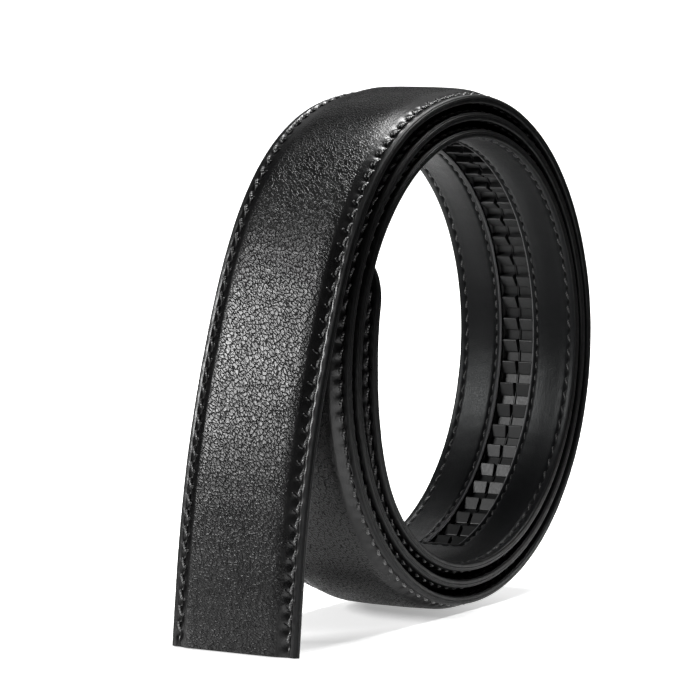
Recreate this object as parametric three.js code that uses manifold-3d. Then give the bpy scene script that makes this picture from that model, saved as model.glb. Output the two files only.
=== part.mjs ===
// The strap of a ratchet belt, without its buckle: face leather over padding, a smooth lining, and the
// toothed track that a buckle's catch holds. It is wound three times and stands on edge like a wheel,
// and its cut end leaves the coil as a tail that stands on the same surface.
// Millimetres. X runs across the strap, the tail is toward -Y, and +Z is up.
import * as THREE from "three";
import { mergeVertices } from "three/addons/utils/BufferGeometryUtils.js";
import Module from "manifold-3d";

// The strap's section, from the bare side of the lining outward
const strapWidth = 35;
const liningThickness = 1.0;
const seamGap = 0.2;
const faceThickness = 1.0;
const padRise = 1.7;
const pressedPadShare = 0.56;
const edgeRound = 0.4;
const marginWidth = 3.2;
const padSlopeWidth = 3.0;
const shoulderShare = 0.82;
const crownShare = 0.5;
const tipLength = 16;

// The coil: its mean inner radius, the turns wound on each other, and the free tip's bow inward
const coilRadius = 52;
const turnCount = 3;
const turnClearance = 0.3;
const tipAngle = -36;
const departureAngle = 280;
const tipBow = 3.2;
const tipBowAngle = 3;
const tipBowSpread = 48;

// The tail: how far outside the coil's side its foot stands
const tailSpread = 21.5;

// The ratchet track, sunk through a slot of the lining into the padding: two columns of wedge teeth
const trackStart = 126.4;
const trackWidth = 8.8;
const trackClearance = 0.3;
const trackBase = 0.35;
const wallBehindTrack = 0.8;
const toothPitch = 5.75;
const toothCount = 36;
const toothHeight = 1.6;
const valleyShare = 0.38;
const steepShare = 0.08;
const grooveWidth = 0.9;
const grooveDepth = 0.1;

// How finely curves are cut into flats
const stationStep = 6.6;
const tipStations = 6;
const coilPointStep = 10;
const slotStep = 3;

// One turn in equal parts, from the tail's side by way of the floor: the coil's form as a share of
// coilRadius, and the distance to the next turn as a share of the closest that the strap allows.
const turnTable = [
  { side: "tail", form: 1.0, spacing: 1.32 },
  { side: "tail and floor", form: 1.0, spacing: 1.3 },
  { side: "floor", form: 0.995, spacing: 1.19 },
  { side: "floor and back", form: 1.0, spacing: 1.05 },
  { side: "back", form: 0.995, spacing: 1.01 },
  { side: "back and top", form: 1.0, spacing: 1.04 },
  { side: "top", form: 0.99, spacing: 1.25 },
  { side: "top and tail", form: 1.0, spacing: 1.3 },
];

// The tail below the coil's top: height as a share of the height where it leaves the coil, and reach as
// a share of the way out to its foot.
const tailTable = [
  { height: 0.96, reach: 0.267 },
  { height: 0.88, reach: 0.477 },
  { height: 0.76, reach: 0.642 },
  { height: 0.6, reach: 0.772 },
  { height: 0.4, reach: 0.887 },
  { height: 0.2, reach: 0.958 },
  { height: 0, reach: 1 },
];

const pressedPad = padRise * pressedPadShare;
const faceBottom = liningThickness + seamGap;
const faceTop = faceBottom + faceThickness;
const closestTurn = faceTop + pressedPad + turnClearance;
const coilEndAngle = 360 * (turnCount - 1) + departureAngle;
const trackEnd = trackStart + toothCount * toothPitch;
const slotBottom = faceTop + pressedPad - wallBehindTrack;

const wasm = await Module();
wasm.setup();

function radians(degrees) {
  return THREE.MathUtils.degToRad(degrees);
}

// A smooth closed curve through values that are equally spaced round one turn, read at an angle.
function aroundTurn(column, angle) {
  const count = turnTable.length;
  let sum = 0;
  turnTable.forEach((row, i) => {
    const away = radians(angle - (360 * i) / count);
    let weight = 1 + Math.cos((count / 2) * away);
    for (let wave = 1; wave < count / 2; wave++) weight += 2 * Math.cos(wave * away);
    sum += (row[column] * weight) / count;
  });
  return sum;
}

// The bow of the free tip, which springs off the turn round it.
function bowAt(angle) {
  const away = Math.abs(angle - tipBowAngle) / tipBowSpread;
  return away < 1 ? tipBow * Math.cos((Math.PI / 2) * away) ** 2 : 0;
}

// The lining's bare side at an angle that counts on from turn to turn: 0 is the tail's side.
function coilPoint(angle) {
  const form = coilRadius * aroundTurn("form", angle);
  const wound = (angle / 360) * closestTurn * aroundTurn("spacing", angle);
  const radius = form + wound - bowAt(angle);
  return new THREE.Vector3(0, -radius * Math.cos(radians(angle)), -radius * Math.sin(radians(angle)));
}

function coilPoints() {
  const count = Math.round((coilEndAngle - tipAngle) / coilPointStep);
  const step = (coilEndAngle - tipAngle) / count;
  return Array.from({ length: count + 1 }, (_, i) => coilPoint(tipAngle + i * step));
}

function tailPoints(start, floorHeight) {
  const side = -coilPoint(coilEndAngle - departureAngle).y + faceTop;
  const out = side + tailSpread + start.y;
  const drop = start.z - floorHeight;
  return tailTable.map(
    (row) => new THREE.Vector3(0, start.y - row.reach * out, floorHeight + row.height * drop),
  );
}

function pathThrough(points) {
  const path = new THREE.CatmullRomCurve3(points, false, "centripetal");
  path.arcLengthDivisions = 16 * points.length;
  return path;
}

// A place on the path, so many millimetres from the tip, with the strap's outward direction.
function placeOn(path, along) {
  const share = along / path.getLength();
  const tangent = path.getTangentAt(share);
  return {
    along,
    point: path.getPointAt(share),
    outward: new THREE.Vector3(0, tangent.z, -tangent.y),
  };
}

// How high the crown of the padding runs over a place.
function crownHeight(path, along) {
  const place = placeOn(path, along);
  return place.point.z + place.outward.z * (faceTop + padRise);
}

// The middle of the flat that the coil stands on: the crown is as high half a step before as after it.
function restingPlace(path) {
  const halfStep = stationStep / 2;
  const lastTurn = 2 * Math.PI * coilRadius;
  let before = path.getLength() - (lastTurn * departureAngle) / 360;
  let after = before + lastTurn / 2;
  while (after - before > 1e-6) {
    const middle = (before + after) / 2;
    const falling = crownHeight(path, middle - halfStep) > crownHeight(path, middle + halfStep);
    if (falling) before = middle;
    else after = middle;
  }
  return before;
}

// The stations of the strap: close together round the tip, then even, with one flat on the surface.
function strapStations(path, resting) {
  const stations = [];
  for (let i = 1; i <= tipStations; i++) {
    const turn = ((i + 0.5) / (tipStations + 0.5)) * (Math.PI / 2);
    stations.push(tipLength * (1 - Math.cos(turn)));
  }
  const length = path.getLength();
  const first = tipLength + stationStep / 2;
  let along = resting + stationStep / 2;
  along -= Math.floor((along - first) / stationStep) * stationStep;
  for (; along < length - stationStep / 2; along += stationStep) stations.push(along);
  stations.push(length);
  return stations.map((station) => placeOn(path, station));
}

// The strap's half width, which narrows round the tip.
function halfWidthAt(along) {
  const left = Math.max(0, 1 - along / tipLength);
  return (strapWidth / 2) * Math.sqrt(1 - left * left);
}

// The padding's rise: none at the very tip, pressed flatter where another turn lies on it.
function padAt(along, freeFrom) {
  const atTip = THREE.MathUtils.smoothstep(along, 0, marginWidth + padSlopeWidth);
  const freed = THREE.MathUtils.smoothstep(along, freeFrom - tipLength, freeFrom + tipLength);
  return atTip * THREE.MathUtils.lerp(pressedPad, padRise, freed);
}

// A profile from its right half, which runs from the bare side outward: points across and outward.
function mirrored(side) {
  return [...side, ...side.map(([across, out]) => [-across, out]).reverse()];
}

function liningProfile(half) {
  return mirrored([
    [half - edgeRound, 0],
    [half, edgeRound],
    [half, liningThickness],
  ]);
}

function faceProfile(half, pad) {
  const shrink = half / (strapWidth / 2);
  const slopeFoot = half - marginWidth * shrink;
  const shoulder = slopeFoot - padSlopeWidth * shrink;
  return mirrored([
    [half, faceBottom],
    [half, faceTop - edgeRound],
    [half - edgeRound, faceTop],
    [slopeFoot, faceTop],
    [shoulder, faceTop + shoulderShare * pad],
    [shoulder * crownShare, faceTop + pad],
  ]);
}

function trackProfile(rise) {
  const back = slotBottom - trackClearance;
  const valley = back - trackBase;
  return mirrored([
    [grooveWidth / 2, valley + grooveDepth],
    [grooveWidth / 2, valley - rise],
    [trackWidth / 2, valley - rise],
    [trackWidth / 2, back],
  ]);
}

function slotProfile() {
  const half = trackWidth / 2 + trackClearance;
  return mirrored([
    [half, -turnClearance / 2],
    [half, slotBottom],
  ]);
}

// A section stands at a place: its profile there, as points in space.
function sectionAt(place, profile) {
  return profile.map(([across, out]) => {
    const point = place.point.clone().addScaledVector(place.outward, out);
    point.x = across;
    return point;
  });
}

// A closed solid along places, with one profile for each, all with the same number of points.
function loft(places, profiles) {
  const count = profiles[0].length;
  const positions = places.flatMap((place, i) => sectionAt(place, profiles[i])).flatMap((p) => p.toArray());
  const index = [];
  for (let ring = 0; ring + 1 < places.length; ring++) {
    for (let i = 0; i < count; i++) {
      const a = ring * count + i;
      const b = ring * count + ((i + 1) % count);
      index.push(a, b, b + count, a, b + count, a + count);
    }
  }
  capTriangles(profiles[0]).forEach(([a, b, c]) => index.push(c, b, a));
  const last = (places.length - 1) * count;
  capTriangles(profiles.at(-1)).forEach(([a, b, c]) => index.push(last + a, last + b, last + c));
  const geometry = new THREE.BufferGeometry();
  geometry.setAttribute("position", new THREE.Float32BufferAttribute(positions, 3));
  geometry.setIndex(index);
  return geometry;
}

function capTriangles(profile) {
  const outline = profile.map(([across, out]) => new THREE.Vector2(across, out));
  return THREE.ShapeUtils.triangulateShape(outline, []);
}

function solidFrom(geometry) {
  const merged = mergeVertices(geometry);
  return new wasm.Manifold(
    new wasm.Mesh({
      numProp: 3,
      vertProperties: merged.attributes.position.array,
      triVerts: new Uint32Array(merged.index.array),
    }),
  );
}

function cutFrom(geometry, cutter) {
  const cut = solidFrom(geometry).subtract(solidFrom(cutter)).getMesh();
  const made = new THREE.BufferGeometry();
  made.setAttribute("position", new THREE.Float32BufferAttribute(cut.vertProperties, 3));
  made.setIndex(Array.from(cut.triVerts));
  return made;
}

function meshOf(name, geometry, finish) {
  geometry.computeVertexNormals();
  const mesh = new THREE.Mesh(geometry, new THREE.MeshStandardMaterial(finish));
  mesh.name = name;
  return mesh;
}

// What is cut away for the track, from inside the coil to behind the track.
function makeSlot(path) {
  const slotLength = trackEnd - trackStart + 2 * trackClearance;
  const count = Math.ceil(slotLength / slotStep);
  const places = Array.from({ length: count + 1 }, (_, i) =>
    placeOn(path, trackStart - trackClearance + (i * slotLength) / count),
  );
  return loft(places, places.map(slotProfile));
}

function makeFaceLeather(stations, freeFrom, slot) {
  const profiles = stations.map(({ along }) => faceProfile(halfWidthAt(along), padAt(along, freeFrom)));
  const leather = cutFrom(loft(stations, profiles), slot);
  return meshOf("face_leather", leather, { color: 0x151517, roughness: 0.5, metalness: 0 });
}

function makeBackLeather(stations, slot) {
  const profiles = stations.map(({ along }) => liningProfile(halfWidthAt(along)));
  const leather = cutFrom(loft(stations, profiles), slot);
  return meshOf("back_leather", leather, { color: 0x17181c, roughness: 0.35, metalness: 0 });
}

// Each row of teeth is a flat valley, a climb away from the tip, and a steep drop at its far end.
function makeRatchetTrack(path) {
  const rowSections = [
    { share: 0, rise: 0 },
    { share: valleyShare, rise: 0 },
    { share: 1 - steepShare, rise: toothHeight },
  ];
  const places = [];
  const profiles = [];
  for (let row = 0; row < toothCount; row++) {
    rowSections.forEach(({ share, rise }) => {
      places.push(placeOn(path, trackStart + (row + share) * toothPitch));
      profiles.push(trackProfile(rise));
    });
  }
  places.push(placeOn(path, trackEnd));
  profiles.push(trackProfile(0));
  return meshOf("ratchet_track", loft(places, profiles), { color: 0x121315, roughness: 0.3, metalness: 0 });
}

function makeBelt() {
  const wound = coilPoints();
  const coilPath = pathThrough(wound);
  const resting = restingPlace(coilPath);
  const floorHeight = crownHeight(coilPath, resting + stationStep / 2);
  const path = pathThrough([...wound, ...tailPoints(wound.at(-1), floorHeight)]);
  const freeFrom = coilPath.getLength() - 2 * Math.PI * (coilRadius + closestTurn * turnCount);
  const stations = strapStations(path, resting);
  const slot = makeSlot(path);

  const belt = new THREE.Group();
  belt.add(makeFaceLeather(stations, freeFrom, slot));
  belt.add(makeBackLeather(stations, slot));
  belt.add(makeRatchetTrack(path));
  const box = new THREE.Box3().setFromObject(belt);
  belt.position.set(0, -(box.min.y + box.max.y) / 2, -floorHeight);
  return belt;
}

export default makeBelt();
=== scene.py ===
"""The strap of a ratchet belt: padded pebbled leather, lining, seams, painted edges and a toothed track.

Strap coordinates are in millimetres: `along` from the rounded tip, `across` from the middle line, and
`out` from the lining's bare side toward the coil's outside. World places are in metres.
"""
import math

import bpy
import numpy as np
from mathutils import Matrix, Vector


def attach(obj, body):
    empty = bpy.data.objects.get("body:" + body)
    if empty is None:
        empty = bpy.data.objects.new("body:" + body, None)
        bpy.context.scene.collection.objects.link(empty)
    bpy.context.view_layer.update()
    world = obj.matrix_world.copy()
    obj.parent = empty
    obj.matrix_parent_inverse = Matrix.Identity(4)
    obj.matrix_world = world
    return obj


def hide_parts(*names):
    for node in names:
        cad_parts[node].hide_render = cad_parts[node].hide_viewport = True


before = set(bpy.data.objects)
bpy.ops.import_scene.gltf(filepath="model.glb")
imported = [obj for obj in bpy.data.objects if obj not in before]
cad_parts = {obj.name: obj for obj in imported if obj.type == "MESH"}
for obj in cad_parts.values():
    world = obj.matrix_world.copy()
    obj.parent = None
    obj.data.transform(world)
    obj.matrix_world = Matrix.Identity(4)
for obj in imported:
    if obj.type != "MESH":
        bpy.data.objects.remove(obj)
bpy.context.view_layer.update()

MM = 0.001

# The strap's named sizes, the same as in the part's source
STRAP_WIDTH = 35.0
LINING_THICKNESS = 1.0
SEAM_GAP = 0.2
FACE_THICKNESS = 1.0
PAD_RISE = 1.7
PRESSED_PAD_SHARE = 0.56
TIP_LENGTH = 16.0
COIL_RADIUS = 52.0
TURN_COUNT = 3
TURN_CLEARANCE = 0.3
TIP_ANGLE = -36.0
DEPARTURE_ANGLE = 280.0
TIP_BOW = 3.2
TIP_BOW_ANGLE = 3.0
TIP_BOW_SPREAD = 48.0
TAIL_SPREAD = 21.5
TRACK_START = 126.4
TRACK_WIDTH = 8.8
TRACK_CLEARANCE = 0.3
TRACK_BASE = 0.35
WALL_BEHIND_TRACK = 0.8
TOOTH_PITCH = 5.75
TOOTH_COUNT = 36
TOOTH_HEIGHT = 1.6
VALLEY_SHARE = 0.38
STEEP_SHARE = 0.08
GROOVE_WIDTH = 0.9
# The coil's form and the turns' spacing, as factors at eight places round the coil
FORM = (1.0, 1.0, 0.995, 1.0, 0.995, 1.0, 0.99, 1.0)
SPACING = (1.32, 1.3, 1.19, 1.05, 1.01, 1.04, 1.25, 1.3)
# The hanging tail: shares of its height and of its reach
TAIL = ((0.96, 0.267), (0.88, 0.477), (0.76, 0.642), (0.6, 0.772), (0.4, 0.887), (0.2, 0.958), (0, 1))

HALF = STRAP_WIDTH / 2
PRESSED_PAD = PAD_RISE * PRESSED_PAD_SHARE
FACE_TOP = LINING_THICKNESS + SEAM_GAP + FACE_THICKNESS
CLOSEST_TURN = FACE_TOP + PRESSED_PAD + TURN_CLEARANCE
COIL_END = 360 * (TURN_COUNT - 1) + DEPARTURE_ANGLE
TRACK_END = TRACK_START + TOOTH_COUNT * TOOTH_PITCH
SLOT_BOTTOM = FACE_TOP + PRESSED_PAD - WALL_BEHIND_TRACK
SLOT_HALF = TRACK_WIDTH / 2 + TRACK_CLEARANCE
SLOT_FROM = TRACK_START - TRACK_CLEARANCE
SLOT_TO = TRACK_END + TRACK_CLEARANCE

# Details that only the looks have
LAYER_JOINT = 1.12  # where the face leather's edge meets the lining's
JOINT_GAP = 0.03
SEAM_INSET = 2.1
SEAM_PITCH = 3.8
RIM_INSET = 1.45
RIM_PITCH = 3.2
TAIL_BEND = 1052.0  # where the tail bends over the coil's top
PAD_FOOT = 2.6  # how far from the edge the padding starts to rise
PAD_SIDE = 2.6  # how broad the padding's side is
BEND_SIDE = 4.4  # how much broader it is at the tail's bend
BEND_REACH = 26.0
CROWN_FROM = 4.5
CROWN_WIDTH = 9.0
CROWN_SHARE = 0.12
TIP_FLAT = 6.2  # the length over which the padding rises from the tip
FACE_CORNER = 0.45
LINING_CORNER = 0.5
SLOT_LIP = 0.32
EDGE_WAVER = 0.05  # how far the cut edges waver in and out
WAVER_LENGTH = 61.0
WAVER_REACH = 3.0
FACE_ROWS_PER_STITCH = 5
LINING_ROWS_PER_STITCH = 4
TIP_ROWS = 56
COIL_KNOTS = 104
FINE_POINTS = 8001


def smooth(t):
    t = np.clip(t, 0, 1)
    return t * t * (3 - 2 * t)


def bevelled_ramp(t, foot=0.13, shoulder=0.5):
    """A straight ramp from 0 to 1, with its corners rounded over these shares of its length."""
    lifted = np.maximum(foot - np.abs(t), 0) ** 2 / (4 * foot)
    lowered = np.maximum(shoulder - np.abs(t - 1), 0) ** 2 / (4 * shoulder)
    return np.clip(t, 0, 1) + lifted - lowered


def bell(distance, width):
    return np.exp(-((distance / width) ** 2))


# The path
def around(values, degrees):
    count = len(values)
    total = 0
    for i, value in enumerate(values):
        away = np.radians(degrees) - i / count * 2 * np.pi
        weight = 1 + np.cos(count / 2 * away)
        for wave in range(1, count // 2):
            weight = weight + 2 * np.cos(wave * away)
        total = total + value * weight / count
    return total


def coil_points(degrees):
    degrees = np.asarray(degrees, float)
    away = np.abs(degrees - TIP_BOW_ANGLE) / TIP_BOW_SPREAD
    bow = TIP_BOW * np.where(away < 1, np.cos(np.pi / 2 * np.minimum(away, 1)) ** 2, 0)
    wound_out = degrees / 360 * CLOSEST_TURN * around(SPACING, degrees)
    radius = COIL_RADIUS * around(FORM, degrees) + wound_out - bow
    return np.stack([-radius * np.cos(np.radians(degrees)), -radius * np.sin(np.radians(degrees))], -1)


def spline_through(knots, values):
    """A natural cubic spline."""
    count = len(knots)
    step = np.diff(knots)
    matrix = np.zeros((count, count))
    right = np.zeros((count, values.shape[1]))
    matrix[0, 0] = matrix[-1, -1] = 1
    for i in range(1, count - 1):
        matrix[i, i - 1 : i + 2] = step[i - 1], 2 * (step[i - 1] + step[i]), step[i]
        right[i] = 6 * ((values[i + 1] - values[i]) / step[i] - (values[i] - values[i - 1]) / step[i - 1])
    bend = np.linalg.solve(matrix, right)

    def at(x):
        x = np.clip(np.asarray(x, float), knots[0], knots[-1])
        i = np.clip(np.searchsorted(knots, x, side="right") - 1, 0, count - 2)
        h = step[i][..., None]
        left, rest = (knots[i + 1] - x)[..., None], (x - knots[i])[..., None]
        cubic = (bend[i] * left**3 + bend[i + 1] * rest**3) / (6 * h)
        from_left = (values[i] / h - bend[i] * h / 6) * left
        from_right = (values[i + 1] / h - bend[i + 1] * h / 6) * rest
        return cubic + from_left + from_right

    return at


def outward_of(tangent):
    return np.stack([tangent[..., 1], -tangent[..., 0]], -1)


def offset_line(points, distance):
    tangent = np.gradient(points, axis=0)
    tangent /= np.linalg.norm(tangent, axis=1)[:, None]
    return points + distance * outward_of(tangent)


def make_path():
    last_turn = coil_points(np.arange(360 * (TURN_COUNT - 1), COIL_END, 0.25))
    floor = offset_line(last_turn, FACE_TOP + PAD_RISE)[:, 1].min()
    wound = coil_points(np.linspace(TIP_ANGLE, COIL_END, COIL_KNOTS))
    start = wound[-1]
    out = -coil_points(COIL_END - DEPARTURE_ANGLE)[0] + FACE_TOP + TAIL_SPREAD + start[0]
    drop = start[1] - floor
    tail = [(start[0] - reach * out, floor + height * drop) for height, reach in TAIL]
    points = np.concatenate([wound, tail])
    chord = np.concatenate([[0], np.cumsum(np.linalg.norm(np.diff(points, axis=0), axis=1))])
    curve = spline_through(chord, points)
    fine = np.linspace(0, chord[-1], FINE_POINTS)
    line = curve(fine)
    length = np.concatenate([[0], np.cumsum(np.linalg.norm(np.diff(line, axis=0), axis=1))])
    outline = offset_line(line, FACE_TOP + PAD_RISE)
    middle = (outline[:, 0].min() + outline[:, 0].max()) / 2
    return curve, fine, length, np.array([-middle, -floor])


CURVE, CURVE_KNOTS, CURVE_LENGTH, ROOT = make_path()
LENGTH = CURVE_LENGTH[-1]


def frame_at(along):
    """The path's point, tangent and outward direction in the (y, z) plane, also just past its ends."""
    nudge = 0.05
    along = np.asarray(along, float)
    inside = np.clip(along, 0, LENGTH)
    knot = np.interp(inside, CURVE_LENGTH, CURVE_KNOTS)
    tangent = CURVE(np.minimum(knot + nudge, CURVE_KNOTS[-1])) - CURVE(np.maximum(knot - nudge, 0))
    tangent /= np.linalg.norm(tangent, axis=-1)[..., None]
    return CURVE(knot) + tangent * (along - inside)[..., None] + ROOT, tangent, outward_of(tangent)


def to_world(along, across, out):
    along, across, out = np.broadcast_arrays(along, across, out)
    point, _, outward = frame_at(along)
    placed = point + outward * out[..., None]
    return np.concatenate([across[..., None], placed], -1) * MM


# The strap's outline, and lines set in from it
def half_width(along):
    left = np.maximum(0, 1 - np.asarray(along, float) / TIP_LENGTH)
    return HALF * np.sqrt(1 - left * left)


def outline_points(count=400):
    turn = np.linspace(0, np.pi / 2, count)
    return np.stack([TIP_LENGTH * (1 - np.cos(turn)), HALF * np.sin(turn)], -1)


def nearest_on(line, points):
    """For each point, its distance to a polyline and the length along the polyline of the nearest place."""
    start, step = line[:-1], np.diff(line, axis=0)
    size = np.linalg.norm(step, axis=1)
    reached = np.concatenate([[0], np.cumsum(size)])[:-1]
    rel = points[:, None] - start[None]
    share = np.clip((rel * step).sum(-1) / size**2, 0, 1)
    gap = np.linalg.norm(rel - share[..., None] * step, axis=-1)
    best = gap.argmin(1)
    rows = np.arange(len(points))
    return gap[rows, best], reached[best] + share[rows, best] * size[best]


TIP_OUTLINE = np.concatenate([outline_points(), [[TIP_LENGTH + 30, HALF]]])


def inset_line(inset):
    """The half of a line set in from the outline, from the middle of the tip to the straight edge."""
    base = outline_points()
    tangent = np.gradient(base, axis=0)
    tangent /= np.linalg.norm(tangent, axis=1)[:, None]
    inner = base + inset * np.stack([tangent[:, 1], -tangent[:, 0]], -1)
    keep = inner[:, 1] >= 0
    return np.concatenate([inner[keep], [[TIP_LENGTH + 30, HALF - inset]]])


SEAM_LINE = inset_line(SEAM_INSET)
SEAM_LINE_LENGTH = np.concatenate([[0], np.cumsum(np.linalg.norm(np.diff(SEAM_LINE, axis=0), axis=1))])
SEAM_START = SEAM_LINE_LENGTH[-1] - SEAM_LINE[-1, 0]  # seam length at `along` = 0, were the seam straight


def edge_distance(along, across):
    """Distance from the outline, and the length along the seam from the middle of the tip."""
    across = np.abs(across)
    distance = HALF - across
    seam = along + SEAM_START
    tip = along < TIP_LENGTH + 6
    if tip.any():
        points = np.stack([along[tip], across[tip]], -1)
        distance[tip] = nearest_on(TIP_OUTLINE, points)[0]
        seam[tip] = nearest_on(SEAM_LINE, points)[1]
    return distance, seam


def seam_place(seam):
    """Strap coordinates of a place on the seam, by its length from the middle of the tip."""
    seam = np.asarray(seam, float)
    along = np.interp(seam, SEAM_LINE_LENGTH, SEAM_LINE[:, 0])
    across = np.interp(seam, SEAM_LINE_LENGTH, SEAM_LINE[:, 1])
    straight = seam > SEAM_LINE_LENGTH[-1]
    return np.where(straight, seam - SEAM_START, along), across


def strap_rows(rows_per_stitch):
    """Rows close together round the tip, then so many to a stitch, in step with the needle holes."""
    turn = np.linspace(0, np.pi / 2, TIP_ROWS + 1)[1:]
    tip = TIP_LENGTH * (1 - np.cos(turn))
    step = SEAM_PITCH / rows_per_stitch
    first = math.ceil((TIP_LENGTH + 0.5 + SEAM_START) / step) * step - SEAM_START
    straight = np.arange(first, LENGTH - 0.3, step)
    return np.concatenate([[0.02], tip, straight, [LENGTH - 0.12, LENGTH]])


WOUND = coil_points(np.linspace(TIP_ANGLE, COIL_END, FINE_POINTS))
COIL_LENGTH = np.linalg.norm(np.diff(WOUND, axis=0), axis=1).sum()
FREE_FROM = COIL_LENGTH - 2 * np.pi * (COIL_RADIUS + CLOSEST_TURN * TURN_COUNT)


def pad_slope(along, distance):
    """How far up the padding's side: the side is broader where the tail bends over the coil's top."""
    broad = PAD_SIDE + BEND_SIDE * bell(along - TAIL_BEND, BEND_REACH)
    return bevelled_ramp((distance - PAD_FOOT) / broad)


def pad_rise(along):
    """The filler's height: nothing at the very tip, and pressed where another turn lies on it."""
    at_tip = smooth(along / TIP_FLAT)
    freed = smooth((along - FREE_FROM + TIP_LENGTH) / (2 * TIP_LENGTH))
    return at_tip * (PRESSED_PAD + (PAD_RISE - PRESSED_PAD) * freed)


# Meshes
def waves(values, seed, longest, count=7):
    """A smooth irregular curve between about -1 and 1."""
    shorter, weaker, sum_of_heights = 1.7, 1.35, 2.6
    rng = np.random.default_rng(seed)
    total = np.zeros_like(np.asarray(values, float))
    for i in range(count):
        size = longest / shorter**i
        total += np.sin(values * 2 * np.pi / size + rng.uniform(0, 2 * np.pi)) / weaker**i
    return total / sum_of_heights


def wavered(x_row, share, waver):
    """Points of a row, moved in or out near the cut edges, the same way for both leathers."""
    near_edge = smooth((np.abs(x_row) - HALF * share + WAVER_REACH) / WAVER_REACH)
    return x_row + np.sign(x_row) * waver * share * near_edge


def new_mesh(name, vertices, faces, attributes=None, material_index=None, rounded=True):
    mesh = bpy.data.meshes.new(name)
    mesh.from_pydata([tuple(v) for v in vertices], [], [tuple(int(i) for i in f) for f in faces])
    for key, values in (attributes or {}).items():
        values = np.asarray(values, np.float32)
        if values.ndim == 2:
            mesh.attributes.new(key, "FLOAT_VECTOR", "POINT").data.foreach_set("vector", values.ravel())
        else:
            mesh.attributes.new(key, "FLOAT", "POINT").data.foreach_set("value", values)
    if material_index is not None:
        mesh.polygons.foreach_set("material_index", np.asarray(material_index, np.int32))
    mesh.polygons.foreach_set("use_smooth", np.full(len(mesh.polygons), rounded))
    mesh.update()
    piece = bpy.data.objects.new(name, mesh)
    bpy.context.scene.collection.objects.link(piece)
    return piece


def ring_faces(rows, columns, skip=None):
    """Quads between rings of a closed profile, and a polygon at each end."""
    faces = []
    for r in range(rows - 1):
        for c in range(columns):
            d = (c + 1) % columns
            if skip is not None and skip(r, c):
                continue
            faces.append((r * columns + c, (r + 1) * columns + c, (r + 1) * columns + d, r * columns + d))
    faces.append(tuple(range(columns)))
    faces.append(tuple(reversed(range((rows - 1) * columns, rows * columns))))
    return faces


def needle_holes(seam, pitch, beside, length=0.55, width=0.42, slant=0.35):
    """How deep in a slanted needle hole a place is, from 0 to 1.

    The place is given by its length along the seam and its distance beside it.
    """
    phase = (seam / pitch - np.round(seam / pitch)) * pitch + slant * beside
    return bell(phase, length) * bell(beside, width)


def rounded_corner(distance, radius):
    """How far a rounded corner falls away, by distance from its edge."""
    fall = np.clip(1 - distance / radius, 0, 1)
    return radius * (1 - np.sqrt(np.maximum(0, 1 - fall * fall)))


def puckers(seam, pitch):
    """1 halfway along a stitch, and 0 at its holes."""
    return 0.5 - 0.5 * np.cos(2 * np.pi * seam / pitch)


# Distances from the edge at which the face leather's top has its points
FACE_INSETS = (0.0, 0.04, 0.14, 0.28, 0.45, 0.75, 1.05, 1.35, 1.6, 1.85, 2.1, 2.35, 2.6, 2.85, 3.15, 3.55,
               4.0, 4.5, 4.85, 5.3, 6.1, 7.3, 9.2, 13.0)


def face_surface(along, across):
    """The face leather's top: how far out it lies, and how deep in a needle hole."""
    distance, seam = edge_distance(along, across)
    slope = pad_slope(along, distance)
    crown = smooth((distance - CROWN_FROM) / CROWN_WIDTH)
    side = np.sign(across)
    beside = distance - SEAM_INSET
    mid = puckers(seam, SEAM_PITCH)
    hole = needle_holes(seam, SEAM_PITCH, beside - 0.08, length=0.5, width=0.5, slant=0.45)
    uneven = 1 + 0.4 * waves(along + 400 * (side > 0), 5, 41.0)
    groove, hole_depth, pull = 0.24, 0.55, 0.32
    puff_inside, puff_outside = 0.13, 0.12
    margin_drop, margin_reach, margin_bend = 0.22, 1.5, 1.5
    swell, swell_length, swell_from = 0.05, 23.0, 4
    out = FACE_TOP + pad_rise(along) * ((1 - CROWN_SHARE) * slope + CROWN_SHARE * crown)
    out -= groove * bell(beside, 0.42)
    out -= hole_depth * hole
    out -= pull * uneven * (1 - mid) ** 2 * bell(beside - 0.95, 0.62)
    out += puff_inside * uneven * mid * bell(beside - 0.8, 0.42)
    out += puff_outside * uneven * mid * bell(beside + 0.7, 0.36)
    out -= margin_drop * np.clip(1 - distance / margin_reach, 0, 1) ** margin_bend
    out += swell * waves(along, 11, swell_length) * smooth((distance - swell_from) / swell_from)
    out -= 0.9 * rounded_corner(distance, FACE_CORNER)
    return out, hole, distance


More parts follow.
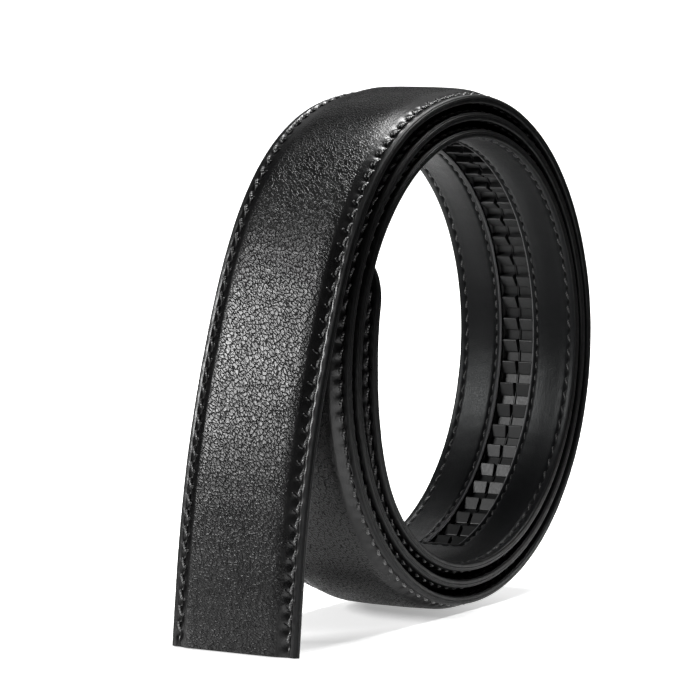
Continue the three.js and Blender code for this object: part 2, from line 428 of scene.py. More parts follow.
def make_face():
    rows = strap_rows(FACE_ROWS_PER_STITCH)
    scale = half_width(rows) / HALF
    waver = EDGE_WAVER * waves(rows, 3, WAVER_LENGTH)
    insets = np.array(FACE_INSETS)
    top = np.concatenate([HALF - insets, [0.0], -(HALF - insets[::-1])])
    low_right = [SLOT_HALF, SLOT_HALF + 0.05, HALF - 0.15, HALF]
    low = np.array([-x for x in reversed(low_right)] + low_right)
    bottom = LAYER_JOINT + JOINT_GAP
    across, along, out, hole, distance = [], [], [], [], []
    for i, (u, share) in enumerate(zip(rows, scale)):
        x = top * share
        surface, pit, gap = face_surface(np.full(len(x), u), x.copy())
        in_slot = SLOT_FROM <= u <= SLOT_TO
        side_points = np.array([1.62, bottom + 0.12])
        low_out = np.full(len(low), bottom)
        if in_slot:
            low_out[3:5] = SLOT_BOTTOM
        edge_x = np.array([0.03, 0.0])
        x_row = np.concatenate([x, -HALF * share - edge_x, low * share, HALF * share + edge_x[::-1]])
        out_row = np.concatenate([surface, side_points, low_out, side_points[::-1]])
        x_row = wavered(x_row, share, waver[i])
        across.append(x_row)
        out.append(out_row)
        along.append(np.full(len(x_row), u))
        rest = np.zeros(len(x_row) - len(x))
        hole.append(np.concatenate([pit, rest]))
        distance.append(np.concatenate([gap, rest]))
    across, along, out = np.array(across), np.array(along), np.array(out)
    columns = across.shape[1]
    places = to_world(along, across, out).reshape(-1, 3)
    faces = ring_faces(len(rows), columns)
    painted = 5
    index = []
    for face in faces[:-2]:
        c = face[0] % columns
        index.append(0 if painted <= c < len(top) - 1 - painted else 1)
    index += [1, 1]
    strap = np.stack([along.ravel(), across.ravel(), np.concatenate(distance)], -1)
    return new_mesh("face_leather_skin", places, faces,
                    {"strap": strap, "pit": np.concatenate(hole)}, index)


# Distances from the edge, and then from the middle line, at which the lining's bare side has its points
LINING_INSETS = (0.0, 0.04, 0.14, 0.3, 0.6, 1.1, 1.6, 1.85, 2.1, 2.35, 2.6, 2.95, 3.5, 5.0, 7.0)
RIM_STEPS = (10.4, 8.6, 7.4, 6.9, 6.55, 6.35, 6.15, 5.95, 5.7, 5.4, 5.15, 4.95, 4.8, SLOT_HALF, 2.35, 0.0)


def slot_distance(along, across):
    over = np.maximum(np.abs(across) - SLOT_HALF, 0)
    past = np.maximum(np.maximum(SLOT_FROM - along, along - SLOT_TO), 0)
    return np.hypot(over, past)


def rim_seam(along, across):
    """Length along the rim's seam: it runs on both sides of the slot and round its ends."""
    beyond = (along < SLOT_FROM) | (along > SLOT_TO)
    return np.where(beyond & (np.abs(across) < SLOT_HALF), across + RIM_PITCH / 2, along - SLOT_FROM)


def lining_surface(along, across):
    """The lining's bare side: how far out it lies, and how deep in a needle hole.

    Less than 0 stands proud, toward the coil's middle.
    """
    distance, seam = edge_distance(along, across)
    beside = distance - SEAM_INSET
    mid = puckers(seam, SEAM_PITCH)
    hole = needle_holes(seam, SEAM_PITCH, beside, slant=-0.3)
    free_to, free_fade = 290, 30
    belly, band, band_middle = 0.34, 0.24, 9.2
    groove, hole_depth = 0.17, 0.4
    puff_inside, puff_outside = 0.07, 0.05
    swell, swell_length = 0.06, 29.0
    first_turn = 1 - smooth((along - free_to) / free_fade)
    out = -belly * first_turn * (1 - smooth((np.abs(across) - 6.4) / 9.6))
    out -= band * first_turn * bell(np.abs(across) - band_middle, 3.2)
    out += groove * bell(beside, 0.4)
    out += hole_depth * hole
    out -= puff_inside * mid * bell(beside - 0.75, 0.4)
    out -= puff_outside * mid * bell(beside + 0.7, 0.4)
    out -= swell * waves(along, 21, swell_length) * smooth((distance - 3) / 4)
    rim = slot_distance(along, across)
    run = rim_seam(along, across)
    rim_beside = rim - RIM_INSET
    rim_hole = needle_holes(run, RIM_PITCH, rim_beside, slant=0.2)
    rim_groove, rim_ridge, rim_puff = 0.2, 0.16, 0.08
    out += rim_groove * bell(rim_beside, 0.36)
    out += hole_depth * rim_hole
    out -= rim_ridge * bell(rim - 0.62, 0.42)
    out -= rim_puff * puckers(run, RIM_PITCH) * bell(rim_beside - 0.7, 0.4)
    out += rounded_corner(rim, SLOT_LIP)
    out += 0.95 * rounded_corner(distance, LINING_CORNER)
    return out, np.maximum(hole, rim_hole), distance


def lining_rows():
    """Rows as for the face leather, and more of them close to the slot's two ends."""
    near_end = (0, 0.1, 0.25, 0.45, 0.7, 1.0, 1.2, 1.45, 1.7, 2.0, 2.5)
    cleared = 2.4
    rows = strap_rows(LINING_ROWS_PER_STITCH)
    extra = []
    for end, way in ((SLOT_FROM, -1), (SLOT_TO, 1)):
        extra += [end + way * d for d in near_end]
    keep = [u for u in rows if min(abs(u - e) for e in extra) > 0.3 and not
            (SLOT_FROM - cleared < u < SLOT_FROM or SLOT_TO < u < SLOT_TO + cleared)]
    return np.array(sorted(keep + extra))


def make_lining():
    rows = lining_rows()
    scale = half_width(rows) / HALF
    waver = EDGE_WAVER * waves(rows, 3, WAVER_LENGTH)
    right = [HALF - d for d in LINING_INSETS if HALF - d > RIM_STEPS[0] + 0.3] + list(RIM_STEPS)
    bare = np.array(right + [-x for x in right[-2::-1]])
    back_right = [HALF, HALF - 0.15, 9.0, SLOT_HALF, 2.35, 0.0]
    back = np.array(back_right + [-x for x in back_right[-2::-1]])[::-1]
    top = LAYER_JOINT - JOINT_GAP
    columns = len(bare) + len(back) + 4
    across, along, out, hole, distance = [], [], [], [], []
    side = np.array([0.55, top - 0.1])
    for i, (u, share) in enumerate(zip(rows, scale)):
        x = bare * share
        surface, pit, gap = lining_surface(np.full(len(x), u), x.copy())
        edge_x = np.array([0.0, 0.03])
        x_row = np.concatenate([x, -HALF * share - edge_x, back * share, HALF * share + edge_x[::-1]])
        out_row = np.concatenate([surface, side, np.full(len(back), top), side[::-1]])
        x_row = wavered(x_row, share, waver[i])
        across.append(x_row)
        out.append(out_row)
        along.append(np.full(len(x_row), u))
        rest = np.zeros(len(x_row) - len(x))
        hole.append(np.concatenate([pit, rest]))
        distance.append(np.concatenate([gap, rest]))
    across, along, out = np.array(across), np.array(along), np.array(out)
    first = int(np.argmin(np.abs(rows - SLOT_FROM)))
    last = int(np.argmin(np.abs(rows - SLOT_TO)))
    bare_in = [i for i, x in enumerate(bare) if abs(x) <= SLOT_HALF + 1e-6]
    back_in = [len(bare) + 2 + i for i, x in enumerate(back) if abs(x) <= SLOT_HALF + 1e-6]
    open_columns = set(bare_in[:-1]) | set(back_in[:-1])
    faces = ring_faces(len(rows), columns, lambda r, c: first <= r < last and c in open_columns)
    painted = 3
    # the profile runs from +x to -x on the bare side, and back on the other
    flipped = [tuple(reversed(face)) for face in faces]
    index = []
    for face in flipped[:-2]:
        in_row = [v % columns for v in face]
        c = min(in_row) if max(in_row) - min(in_row) < 2 else columns - 1
        index.append(0 if painted <= c < len(bare) - 1 - painted else 1)
    index += [1, 1]
    near_bare, far_bare, far_back, near_back = bare_in[0], bare_in[-1], back_in[0], back_in[-1]
    for r in range(first, last):
        a, b = r * columns, (r + 1) * columns
        flipped.append((a + near_bare, b + near_bare, b + near_back, a + near_back))
        flipped.append((b + far_bare, a + far_bare, a + far_back, b + far_back))
        index += [1, 1]
    for r, order in ((first, 1), (last, -1)):
        base = r * columns
        for k in range(len(bare_in) - 1):
            corners = (bare_in[k], back_in[-1 - k], back_in[-2 - k], bare_in[k + 1])
            quad = tuple(base + corner for corner in corners)
            flipped.append(quad if order > 0 else tuple(reversed(quad)))
            index.append(1)
    strap = np.stack([along.ravel(), across.ravel(), np.concatenate(distance)], -1)
    places = to_world(along, across, out).reshape(-1, 3)
    return new_mesh("lining_leather", places, flipped,
                    {"strap": strap, "pit": np.concatenate(hole)}, index)


# Threads
def stitch_mesh(name, starts, ends, radius, sag, sides=8, rings=8):
    """Stitches as swollen threads, each from a hole to the next, dipping in at both ends.

    starts and ends are (along, across, out, inward) rows: inward is the way into the leather.
    """
    neck, tip, lift, wide, flat = 0.65, 0.5, 0.12, 1.15, 0.85
    vertices, faces, uv = [], [], []
    t = np.linspace(0, 1, rings)
    swell = np.sqrt(np.maximum(0, 1 - np.abs(2 * t - 1) ** 5)) * (1 - neck) + neck
    swell[0] = swell[-1] = tip
    for start, end in zip(starts, ends):
        line = start[:3] * (1 - t[:, None]) + end[:3] * t[:, None]
        line[:, 2] += start[3] * (sag * (1 - np.sin(np.pi * t) ** 0.6) - lift * np.sin(np.pi * t))
        centre = to_world(line[:, 0], line[:, 1], line[:, 2])
        tangent = np.gradient(centre, axis=0)
        tangent /= np.linalg.norm(tangent, axis=1)[:, None]
        middle = frame_at(line[rings // 2, 0])[2]
        up = np.array([0, middle[0], middle[1]])
        sideways = np.cross(tangent, up)
        sideways /= np.linalg.norm(sideways, axis=1)[:, None]
        upward = np.cross(sideways, tangent)
        base = len(vertices)
        for r in range(rings):
            for k in range(sides):
                angle = 2 * np.pi * k / sides
                spoke = wide * math.cos(angle) * sideways[r] + flat * math.sin(angle) * upward[r]
                vertices.append(centre[r] + spoke * radius * MM * swell[r])
                uv.append((t[r], k / sides, 0))
        for r in range(rings - 1):
            for k in range(sides):
                m = (k + 1) % sides
                faces.append((base + r * sides + k, base + r * sides + m, base + (r + 1) * sides + m,
                              base + (r + 1) * sides + k))
        faces.append(tuple(base + k for k in reversed(range(sides))))
        faces.append(tuple(base + (rings - 1) * sides + k for k in range(sides)))
    return new_mesh(name, vertices, faces, {"thread": np.array(uv)})


def seam_rows(out, inward, gap=0.62, slant=0.42):
    """The start and end of each stitch of the seam on both sides of the strap."""
    last = LENGTH + SEAM_START
    holes = np.arange(1, int(last / SEAM_PITCH)) * SEAM_PITCH
    starts, ends = [], []

    def place(seam, side, shift):
        along, across = seam_place(seam)
        return (float(along), float(side * (across + shift)), out, inward)

    for side in (1, -1):
        for hole in holes:
            if hole + SEAM_PITCH > last - 0.8:
                continue
            starts.append(place(hole + gap, side, slant))
            ends.append(place(hole + SEAM_PITCH - gap, side, -slant))
    starts.append((SEAM_INSET, -SEAM_PITCH + gap, out, inward))
    ends.append((SEAM_INSET, -gap, out, inward))
    starts.append((SEAM_INSET, gap, out, inward))
    ends.append((SEAM_INSET, SEAM_PITCH - gap, out, inward))
    return np.array(starts), np.array(ends)


def fold_rows():
    """Folds that run from the needle holes up the foot of the tail's padding, aslant."""
    tail_from = TAIL_BEND - 60
    last = LENGTH + SEAM_START
    rng = np.random.default_rng(17)
    starts, ends = [], []
    for side in (1, -1):
        for hole in np.arange(1, int(last / SEAM_PITCH)) * SEAM_PITCH:
            if hole > last - 2.5 or hole < 8:
                continue
            reach = 1.5 + rng.uniform(-0.35, 0.35)
            lean = 1.35 + rng.uniform(-0.3, 0.3)
            along, across = seam_place(hole - 0.3)
            if along < tail_from:
                continue
            far_along, far_across = seam_place(hole - lean)
            slope = pad_slope(far_along, SEAM_INSET + reach)
            high = FACE_TOP + pad_rise(far_along) * (1 - CROWN_SHARE) * slope
            starts.append((float(along), side * (across - 0.5), FACE_TOP - 0.2, -1))
            ends.append((float(far_along), side * (far_across - reach), float(high) + 0.02, -1))
    return np.array(starts), np.array(ends)


def rim_rows(out, inward, gap=0.36, slant=0.12):
    """The start and end of each stitch along the slot's rims and across its ends."""
    starts, ends = [], []
    offset = SLOT_HALF + RIM_INSET
    count = int((SLOT_TO - SLOT_FROM) / RIM_PITCH)
    for side in (1, -1):
        for k in range(count):
            u = SLOT_FROM + k * RIM_PITCH
            starts.append((u + gap, side * (offset + slant), out, inward))
            ends.append((u + RIM_PITCH - gap, side * (offset - slant), out, inward))
    for u in (SLOT_FROM - RIM_INSET, SLOT_TO + RIM_INSET):
        for k in (-1.5, -0.5, 0.5):
            starts.append((u, k * RIM_PITCH + gap, out, inward))
            ends.append((u, (k + 1) * RIM_PITCH - gap, out, inward))
    return np.array(starts), np.array(ends)


# The ratchet track
def strip_mesh(sections):
    """Vertices and faces of a closed strip through sections of (along, across, out) rows."""
    count = len(sections[0])
    vertices = np.concatenate(sections)
    faces = ring_faces(len(sections), count)
    return vertices, faces


def make_track():
    back = SLOT_BOTTOM - TRACK_CLEARANCE
    valley = back - TRACK_BASE
    top = valley - TOOTH_HEIGHT
    half, groove = TRACK_WIDTH / 2, GROOVE_WIDTH / 2
    vertices, faces = [], []

    def add(sections):
        count = sum(len(v) for v in vertices)
        new_vertices, new_faces = strip_mesh(sections)
        vertices.append(new_vertices)
        faces.extend(tuple(i + count for i in face) for face in new_faces)

    # base strip with a rounded rib along its middle
    bevel, groove_depth = 0.08, 0.1
    half_profile = [(half, back), (half, valley + bevel), (half - bevel, valley), (groove, valley),
                    (groove - bevel, valley + groove_depth), (0.2, valley + groove_depth),
                    (0.14, valley - 0.12), (0.05, valley - 0.2)]
    profile = half_profile + [(-x, h) for x, h in reversed(half_profile)]
    steps = np.linspace(TRACK_START, TRACK_END, TOOTH_COUNT * 3 + 1)
    add([np.array([(u, x, h) for x, h in profile]) for u in steps])

    # wedge teeth: a low step, a ramp, a rounded crest and a steep drop
    for row in range(TOOTH_COUNT):
        u = TRACK_START + row * TOOTH_PITCH
        foot = u + VALLEY_SHARE * TOOTH_PITCH
        crest = u + (1 - STEEP_SHARE) * TOOTH_PITCH
        drop = u + TOOTH_PITCH
        side_view = [(foot, valley + 0.1), (foot + 0.03, valley - 0.3), (foot + 0.16, valley - 0.42),
                     (crest - 0.32, top + 0.06), (crest - 0.12, top), (crest + 0.04, top + 0.04),
                     (crest + 0.14, top + 0.2), (drop - 0.06, valley + 0.1)]
        middle = np.mean(side_view, axis=0)
        for side in (1, -1):
            inner, outer = groove + 0.02, half
            sections = []
            for x, shrink in ((inner, 0.93), (inner + 0.1, 1.0), (outer - 0.1, 1.0), (outer, 0.93)):
                rows = []
                for a, h in side_view:
                    low = h > valley
                    rows.append((middle[0] + (a - middle[0]) * shrink,
                                 side * x,
                                 h if low else middle[1] + (h - middle[1]) * shrink))
                sections.append(np.array(rows))
            if side < 0:
                sections = sections[::-1]
            add(sections)
    rows = np.concatenate(vertices)
    places = to_world(rows[:, 0], rows[:, 1], rows[:, 2])
    return new_mesh("toothed_track", places, faces, {"strap": rows}, rounded=False)


# Materials
class Nodes:
    """A material's node tree, with short calls to add and join nodes."""

    def __init__(self, name):
        self.material = bpy.data.materials.new(name)
        self.material.use_nodes = True
        self.tree = self.material.node_tree
        self.tree.nodes.clear()
        self.out = self.tree.nodes.new("ShaderNodeOutputMaterial")
        self.shader = self.tree.nodes.new("ShaderNodeBsdfPrincipled")
        self.tree.links.new(self.shader.outputs[0], self.out.inputs["Surface"])

    def add(self, kind, inputs=None, **settings):
        node = self.tree.nodes.new("ShaderNode" + kind)
        for key, value in settings.items():
            setattr(node, key, value)
        for key, value in (inputs or {}).items():
            self.put(node.inputs[key], value)
        return node

    def put(self, socket, value):
        if isinstance(value, bpy.types.NodeSocket):
            self.tree.links.new(value, socket)
        else:
            socket.default_value = value

    def attribute(self, name, output="Vector"):
        return self.add("Attribute", attribute_name=name).outputs[output]

    def math(self, operation, a, b=0.0, c=0.0, clamp=False):
        node = self.add("Math", {0: a, 1: b, 2: c}, operation=operation)
        node.use_clamp = clamp
        return node.outputs[0]

    def vector(self, operation, a, b):
        return self.add("VectorMath", {0: a, 1: b}, operation=operation).outputs[0]

    def ramp(self, value, low, high, to_low=0.0, to_high=1.0, kind="SMOOTHSTEP"):
        node = self.add("MapRange", {"Value": value, "From Min": low, "From Max": high, "To Min": to_low,
                                     "To Max": to_high}, interpolation_type=kind)
        return node.outputs[0]

    def noise(self, vector, scale, detail=3.0, roughness=0.55):
        return self.add("TexNoise", {"Vector": vector, "Scale": scale, "Detail": detail,
                                     "Roughness": roughness})

    def cells(self, vector, scale, randomness=1.0, feature="DISTANCE_TO_EDGE"):
        return self.add("TexVoronoi", {"Vector": vector, "Scale": scale, "Randomness": randomness},
                        feature=feature, voronoi_dimensions="2D")

    def weighted_sum(self, *parts):
        total = 0.0
        for value, weight in parts:
            total = self.math("MULTIPLY_ADD", value, weight, total)
        return total

    def mix_color(self, share, a, b):
        node = self.add("Mix", data_type="RGBA")
        self.put(node.inputs[0], share)
        self.put(node.inputs[6], a)
        self.put(node.inputs[7], b)
        return node.outputs[2]

    def bump(self, height, distance_mm, normal=None, strength=1.0):
        inputs = {"Height": height, "Distance": distance_mm * MM, "Strength": strength}
        if normal is not None:
            inputs["Normal"] = normal
        return self.add("Bump", inputs).outputs[0]

    def finish(self, **sockets):
        for key, value in sockets.items():
            self.put(self.shader.inputs[key.replace("_", " ")], value)
        return self.material


def grey(level):
    return (level, level, level, 1)


def pebbled_leather():
    """Cells with thin crevices on the padding, painted dark as painted shade, and hardly any on the flat
    margins.
    """
    grain_turn, grain_stretch, grain_warp = math.radians(50), (1.7, 0.74, 1.0), (1.7, 1.7, 0)
    cells_per_mm, small_cells_per_mm = 1.12, 2.0
    grain_starts, grain_full, margin_grain = 4.4, 5.8, 0.14
    n = Nodes("pebbled_leather")
    strap = n.attribute("strap")
    along, _, inset = n.add("SeparateXYZ", {0: strap}).outputs
    # cells longer one way than the other, lying aslant, with a soft warp
    warp = n.vector("SUBTRACT", n.noise(strap, 0.6, 2.0).outputs["Color"], (0.5, 0.5, 0.5))
    warped = n.vector("ADD", strap, n.vector("MULTIPLY", warp, grain_warp))
    turned = n.add("Mapping", {"Vector": warped, "Rotation": (0, 0, grain_turn), "Scale": grain_stretch},
                   vector_type="TEXTURE").outputs[0]
    cells = n.cells(turned, cells_per_mm, 0.95).outputs["Distance"]
    small = n.cells(turned, small_cells_per_mm).outputs["Distance"]
    tone = n.cells(turned, cells_per_mm, 0.95, "F1").outputs["Color"]
    tiny = n.noise(strap, 3.4, 3.0, 0.6).outputs["Fac"]
    streaks = n.noise(n.vector("MULTIPLY", turned, (0.45, 1.8, 1.0)), 1.0, 2.0).outputs["Fac"]
    # the broad side of the padding at the tail's bend is nearly smooth
    from_bend = n.math("ABSOLUTE", n.math("SUBTRACT", along, TAIL_BEND))
    full_at = n.math("ADD", grain_full, n.ramp(from_bend, 6.0, 32.0, 4.0, 0.0))
    rise = n.math("SUBTRACT", inset, grain_starts)
    up_pad = n.math("DIVIDE", rise, n.math("SUBTRACT", full_at, grain_starts))
    on_pad = n.ramp(up_pad, 0.0, 1.0, margin_grain, 1.0)
    height = n.weighted_sum((n.ramp(cells, 0.0, 0.16), 0.5), (n.ramp(cells, 0.0, 0.5), 0.14),
                            (n.ramp(small, 0.0, 0.12), 0.07), (tiny, 0.02), (streaks, 0.42), (tone, 0.07))
    creases = n.noise(n.vector("MULTIPLY", strap, (0.16, 0.5, 0)), 1.0, 4.0, 0.6)
    normal = n.bump(n.math("MULTIPLY", height, on_pad), 0.105)
    normal = n.bump(creases.outputs["Fac"], 0.25, normal, 0.5)
    cell_top = n.ramp(cells, 0.0, 0.17)
    hollow = n.math("MULTIPLY", n.math("SUBTRACT", 1.0, cell_top), on_pad)
    mottle = n.noise(strap, 0.09, 3.0).outputs["Fac"]
    pit = n.attribute("pit", "Fac")
    base = n.mix_color(mottle, (0.0028, 0.0028, 0.003, 1), (0.0052, 0.0051, 0.0052, 1))
    # the crevices between the grain's cells are painted darker, as painted shade
    base = n.mix_color(hollow, base, (0.0012, 0.0012, 0.0013, 1))
    # the needle holes are painted nearly black, as painted shade inside them
    base = n.mix_color(n.ramp(pit, 0.15, 0.7), base, grey(0.0006))
    rough = n.ramp(hollow, 0.0, 1.0, 0.29, 0.45)
    rough = n.math("ADD", rough, n.ramp(mottle, 0.3, 0.7, -0.02, 0.05))
    rough = n.math("ADD", rough, n.ramp(pit, 0.1, 0.6, 0.0, 0.4), clamp=True)
    # the grain's own shadows take the gloss away where it is seen along the surface
    facing = n.add("LayerWeight", {"Blend": 0.5}).outputs["Facing"]
    by_angle = n.ramp(facing, 0.34, 0.62, 0.42, 0.03)
    gloss = n.math("MULTIPLY", by_angle, n.ramp(hollow, 0.0, 1.0, 1.0, 0.22))
    # the level to use where the link below is dropped
    n.put(n.shader.inputs["Specular IOR Level"], 0.3)
    return n.finish(Base_Color=base, Roughness=rough, Normal=normal, Specular_IOR_Level=gloss)


def edge_paint():
    n = Nodes("edge_paint")
    strap = n.attribute("strap")
    ripple = n.noise(n.vector("MULTIPLY", strap, (0.35, 2.0, 2.0)), 1.0, 4.0, 0.6)
    grit = n.noise(strap, 5.0, 2.0)
    normal = n.bump(ripple.outputs["Fac"], 0.12)
    normal = n.bump(grit.outputs["Fac"], 0.03, normal)
    base = n.mix_color(ripple.outputs["Fac"], (0.0045, 0.0047, 0.0049, 1), (0.009, 0.0093, 0.0095, 1))
    rough = n.ramp(ripple.outputs["Fac"], 0.2, 0.8, 0.52, 0.4)
    return n.finish(Base_Color=base, Roughness=rough, Normal=normal, Specular_IOR_Level=0.2)


def lining_leather():
    """Smooth split leather with small pores, painted lighter grey at the slot's long rims as a highlight."""
    n = Nodes("lining_leather")
    strap = n.attribute("strap")
    pores = n.cells(strap, 2.6, 1.0, "F1")
    cloud = n.noise(n.vector("MULTIPLY", strap, (0.05, 0.09, 0)), 1.0, 4.0).outputs["Fac"]
    fine = n.noise(strap, 2.2, 4.0, 0.6).outputs["Fac"]
    normal = n.bump(n.ramp(pores.outputs["Distance"], 0.0, 0.35), 0.02)
    normal = n.bump(fine, 0.05, normal)
    normal = n.bump(cloud, 0.5, normal, 0.5)
    pit = n.attribute("pit", "Fac")
    base = n.mix_color(cloud, (0.0026, 0.0027, 0.003, 1), (0.0046, 0.0048, 0.0052, 1))
    along, across, _ = n.add("SeparateXYZ", {0: strap}).outputs
    # the slot's long rims are painted light grey, as a painted highlight along their rounded edges
    after_start = n.ramp(along, SLOT_FROM - 0.3, SLOT_FROM)
    before_end = n.ramp(along, SLOT_TO, SLOT_TO + 0.3, 1.0, 0.0)
    at_rim = n.ramp(n.math("ABSOLUTE", across), SLOT_HALF + 0.2, SLOT_HALF + 0.6, 1.0, 0.0)
    painted_rim_highlight = n.math("MULTIPLY", n.math("MULTIPLY", after_start, before_end), at_rim)
    base = n.mix_color(painted_rim_highlight, base, (0.09, 0.09, 0.092, 1))
    # the needle holes are painted nearly black, as painted shade inside them
    base = n.mix_color(n.ramp(pit, 0.15, 0.7), base, grey(0.001))
    rough = n.ramp(fine, 0.25, 0.75, 0.33, 0.43)
    rough = n.math("ADD", rough, n.ramp(pit, 0.1, 0.6, 0.0, 0.4), clamp=True)
    return n.finish(Base_Color=base, Roughness=rough, Normal=normal, Specular_IOR_Level=0.11,
                    Specular_Tint=(0.97, 1, 1, 1))


def track_plastic():
    n = Nodes("track_plastic")
    strap = n.attribute("strap")
    flow = n.noise(n.vector("MULTIPLY", strap, (1.2, 3.0, 3.0)), 1.0, 3.0)
    normal = n.bump(flow.outputs["Fac"], 0.03)
    base = n.mix_color(flow.outputs["Fac"], (0.0016, 0.0018, 0.0019, 1), (0.003, 0.0032, 0.0034, 1))
    rough = n.ramp(flow.outputs["Fac"], 0.3, 0.7, 0.42, 0.52)
    return n.finish(Base_Color=base, Roughness=rough, Normal=normal, Specular_IOR_Level=0.3)


def thread(name, dark, bright, spec, sheen):
    """Yarn of two twisted strands: `thread` holds the share along a stitch and the share round it."""
    turns_to_a_stitch, strands = 5.0, 2.0
    n = Nodes(name)
    lengthwise, round_it, _ = n.add("SeparateXYZ", {0: n.attribute("thread")}).outputs
    turn = n.weighted_sum((lengthwise, turns_to_a_stitch), (round_it, strands))
    twist = n.math("ABSOLUTE", n.math("SINE", n.math("MULTIPLY", turn, math.pi)))
    normal = n.bump(twist, 0.12)
    # the strands' crests are painted lighter and the grooves between them darker, as painted highlight and
    # shade
    base = n.mix_color(twist, grey(dark), grey(bright))
    return n.finish(Base_Color=base, Roughness=0.36, Normal=normal, Sheen_Weight=sheen, Sheen_Roughness=0.4,
                    Specular_IOR_Level=spec)


# The pieces
leather, paint, lining_skin = pebbled_leather(), edge_paint(), lining_leather()
plastic = track_plastic()
face_yarn = thread("seam_thread", 0.004, 0.04, 0.9, 0.4)
lining_yarn = thread("lining_thread", 0.001, 0.008, 0.55, 0.08)


def put_on(piece, materials, replaced=None):
    for material in materials:
        piece.data.materials.append(material)
    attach(piece, "root")
    if replaced:
        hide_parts(replaced)


put_on(make_face(), [leather, paint], "face_leather")
put_on(make_lining(), [lining_skin, paint], "back_leather")
put_on(make_track(), [plastic], "ratchet_track")
face_seam = stitch_mesh("face_seam", *seam_rows(FACE_TOP + 0.02, -1), radius=0.34, sag=0.6)
put_on(face_seam, [face_yarn])
seam_folds = stitch_mesh("seam_folds", *fold_rows(), radius=0.3, sag=0.14, sides=6, rings=6)
put_on(seam_folds, [leather])
lining_seam = stitch_mesh("lining_seam", *seam_rows(0.16, 1), radius=0.26, sag=0.5)
put_on(lining_seam, [lining_yarn])
slot_seam = stitch_mesh("slot_seam", *rim_rows(-0.1, 1), radius=0.24, sag=0.5)
put_on(slot_seam, [lining_yarn])


# Floor, light and camera
# The camera that was fitted to the photograph
CAMERA_PLACE = Vector((479.565, -819.244, 154.166)) * MM
AZIMUTH, ELEVATION, ROLL = math.radians(31.0), math.radians(5.2978), math.radians(0.0883)
FOCAL_PIXELS, PICTURE_PIXELS, SENSOR = 3784.18, 700, 36.0


def light(name, direction, distance, size, watts, target=(0, 0, 0.065)):
    """A soft box that faces the belt from a direction."""
    lamp = bpy.data.lights.new(name, "AREA")
    lamp.shape = "RECTANGLE"
    lamp.size, lamp.size_y = size
    lamp.energy = watts
    box = bpy.data.objects.new(name, lamp)
    bpy.context.scene.collection.objects.link(box)
    way = Vector(direction).normalized()
    box.location = Vector(target) + way * distance
    box.rotation_euler = way.to_track_quat("Z", "Y").to_euler()


def studio_sweep(material, front=-5.0, back=1.7, side=5.0, radius=0.3, steps=12):
    """A paper sweep: the floor, which turns up smoothly into a back wall."""
    line = [(front, 0.0)]
    for i in range(steps + 1):
        turn = i / steps * math.pi / 2
        line.append((back + radius * math.sin(turn), radius * (1 - math.cos(turn))))
    mesh = bpy.data.meshes.new("studio_sweep")
    vertices = [(x, y, z) for y, z in line for x in (-side, side)]
    mesh.from_pydata(vertices, [], [(2 * i, 2 * i + 1, 2 * i + 3, 2 * i + 2) for i in range(len(line) - 1)])
    mesh.polygons.foreach_set("use_smooth", np.ones(len(mesh.polygons), bool))
    mesh.update()
    sweep = bpy.data.objects.new("studio_sweep", mesh)
    bpy.context.scene.collection.objects.link(sweep)
    sweep.data.materials.append(material)
    sweep.rotation_euler = (0, 0, AZIMUTH)


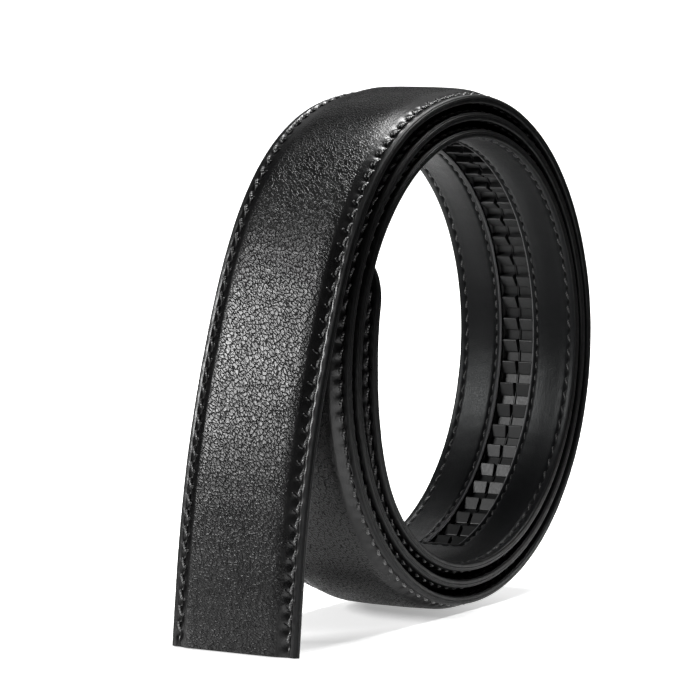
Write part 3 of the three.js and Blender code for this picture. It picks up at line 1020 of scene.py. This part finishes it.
def paper():
    """White paper that glows, in a strip along the photograph's line of sight, and dark beside the strip."""
    strip_half, strip_end, widening = 0.092, 0.15, 0.1
    under_belt, painted_shadow_glow, full_glow, wall_most = (-0.012, -0.01, 0), 0.35, 0.8, 0.3
    n = Nodes("white_paper")
    place = n.add("TexCoord").outputs["Object"]
    grain = n.noise(place, 40.0, 2.0)
    sideways, deep, _ = n.add("SeparateXYZ", {0: place}).outputs
    edge = n.math("SUBTRACT", n.math("ABSOLUTE", sideways), n.math("MULTIPLY", deep, widening))
    strip = n.ramp(edge, strip_half, strip_end, 1.0, 0.0)
    away = n.add("VectorMath", {0: place, 1: under_belt}, operation="DISTANCE").outputs["Value"]
    base = n.mix_color(grain.outputs["Fac"], grey(0.86), grey(0.9))
    base = n.mix_color(strip, grey(0.07), base)
    # the glow is lower round the place under the belt, as a painted shadow on the floor
    floor_glow = n.ramp(away, 0.012, 0.06, painted_shadow_glow, full_glow)
    # a patch behind the tail has no glow, so that the coil's underside mirrors dark there, as painted shade
    hidden_left = n.ramp(sideways, -0.056, -0.05)
    hidden_right = n.ramp(sideways, -0.031, -0.025, 1.0, 0.0)
    hidden_front = n.ramp(deep, -0.062, -0.05)
    hidden_back = n.ramp(deep, 0.0, 0.04, 1.0, 0.0)
    shade_patch = n.math("MULTIPLY", n.math("MULTIPLY", hidden_left, hidden_right),
                    n.math("MULTIPLY", hidden_front, hidden_back))
    floor_glow = n.math("MULTIPLY", floor_glow, n.math("SUBTRACT", 1.0, shade_patch))
    glow = n.math("ADD", floor_glow, n.ramp(deep, 0.3, 0.8, 0.0, wall_most))
    return n.finish(Base_Color=base, Roughness=0.8, Specular_IOR_Level=0.1, Emission_Color=grey(1.0),
                    Emission_Strength=n.math("MULTIPLY", strip, glow))


studio_sweep(paper())

world = bpy.data.worlds.new("studio")
world.use_nodes = True
world.node_tree.nodes["Background"].inputs[0].default_value = (1, 1, 1, 1)
world.node_tree.nodes["Background"].inputs[1].default_value = 0.04
bpy.context.scene.world = world

light("front_box", (-0.64, -0.72, 0.44), 1.3, (0.4, 0.4), 20)
light("back_box", (-0.04, 0.46, 0.89), 1.3, (0.55, 0.4), 26)
light("top_card", (-0.52, 0.7, 0.5), 1.6, (1.0, 0.5), 1.6)


def make_camera():
    back = Vector((math.sin(AZIMUTH) * math.cos(ELEVATION), -math.cos(AZIMUTH) * math.cos(ELEVATION),
                   math.sin(ELEVATION)))
    right = (-back).cross(Vector((0, 0, 1))).normalized()
    up = right.cross(-back)
    turned_right = math.cos(ROLL) * right + math.sin(ROLL) * up
    turned_up = -math.sin(ROLL) * right + math.cos(ROLL) * up
    data = bpy.data.cameras.new("camera")
    data.sensor_width = SENSOR
    data.lens = FOCAL_PIXELS / PICTURE_PIXELS * SENSOR
    data.clip_end = 50
    camera = bpy.data.objects.new("camera", data)
    bpy.context.scene.collection.objects.link(camera)
    camera.matrix_world = Matrix((turned_right, turned_up, back)).transposed().to_4x4()
    camera.location = CAMERA_PLACE
    bpy.context.scene.camera = camera


make_camera()
bpy.context.scene.view_settings.view_transform = "Standard"
